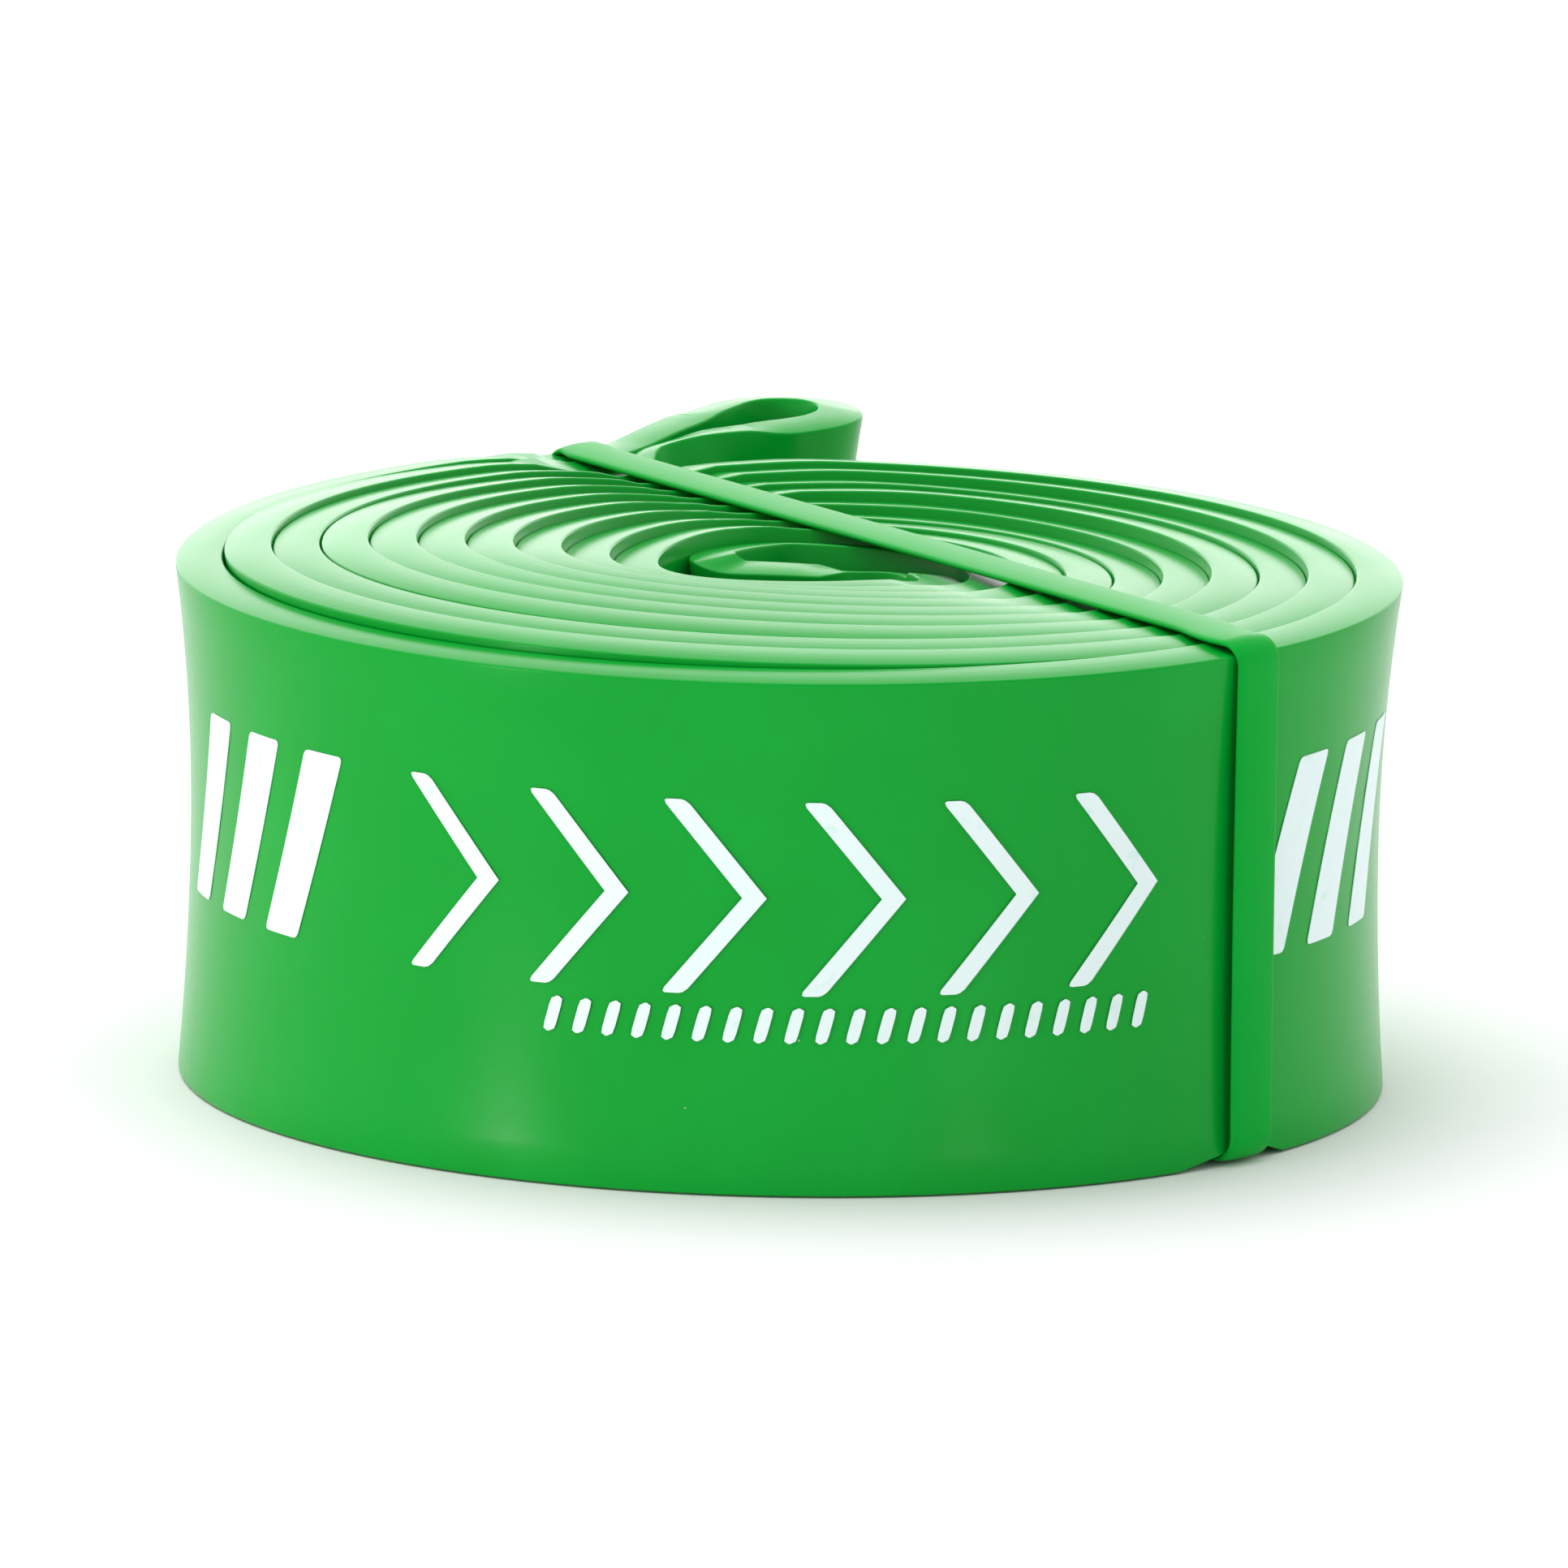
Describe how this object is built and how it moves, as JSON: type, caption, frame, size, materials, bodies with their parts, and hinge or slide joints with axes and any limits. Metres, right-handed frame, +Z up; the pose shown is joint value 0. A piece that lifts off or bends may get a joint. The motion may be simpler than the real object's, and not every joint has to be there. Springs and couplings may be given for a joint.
{
  "type": "resistance band",
  "caption": "Closed latex loop band folded flat and rolled up on its edge, held by a narrow elastic tie, with a free end loop.",
  "frame": {"origin": "below the middle of the whole part's box, on the surface that the coil stands on", "axes": "+Z up along the coil's axis, +Y towards the end loop, +X to the right of a viewer who faces the marks"},
  "size_m": [0.104, 0.1314, 0.0453],
  "materials": {
    "latex": "satin",
    "tie_rubber": "satin",
    "ink": "matte"
  },
  "bodies": {
    "coil": {"rolled_band": "latex", "ink_chevrons": "ink", "ink_left_bars": "ink", "ink_right_bars": "ink", "ink_tick_row": "ink"},
    "free_loop": {"end_loop": "latex"},
    "tie": {"tie_strap": "tie_rubber"}
  },
  "joints": [
    {"name": "end_loop_flex", "type": "hinge", "parent": "coil", "child": "free_loop", "pos_m": [-0.01757, 0.04703, 0], "axis": [0, 0, 1], "range_deg": [0, 25], "stiffness_Nm_per_rad": 0.08},
    {"name": "tie_slide_off", "type": "slide", "parent": "coil", "child": "tie", "axis": [-0.8406, -0.5417, 0], "range_m": [0, 0.075], "deforming": ["tie_strap"]}
  ]
}
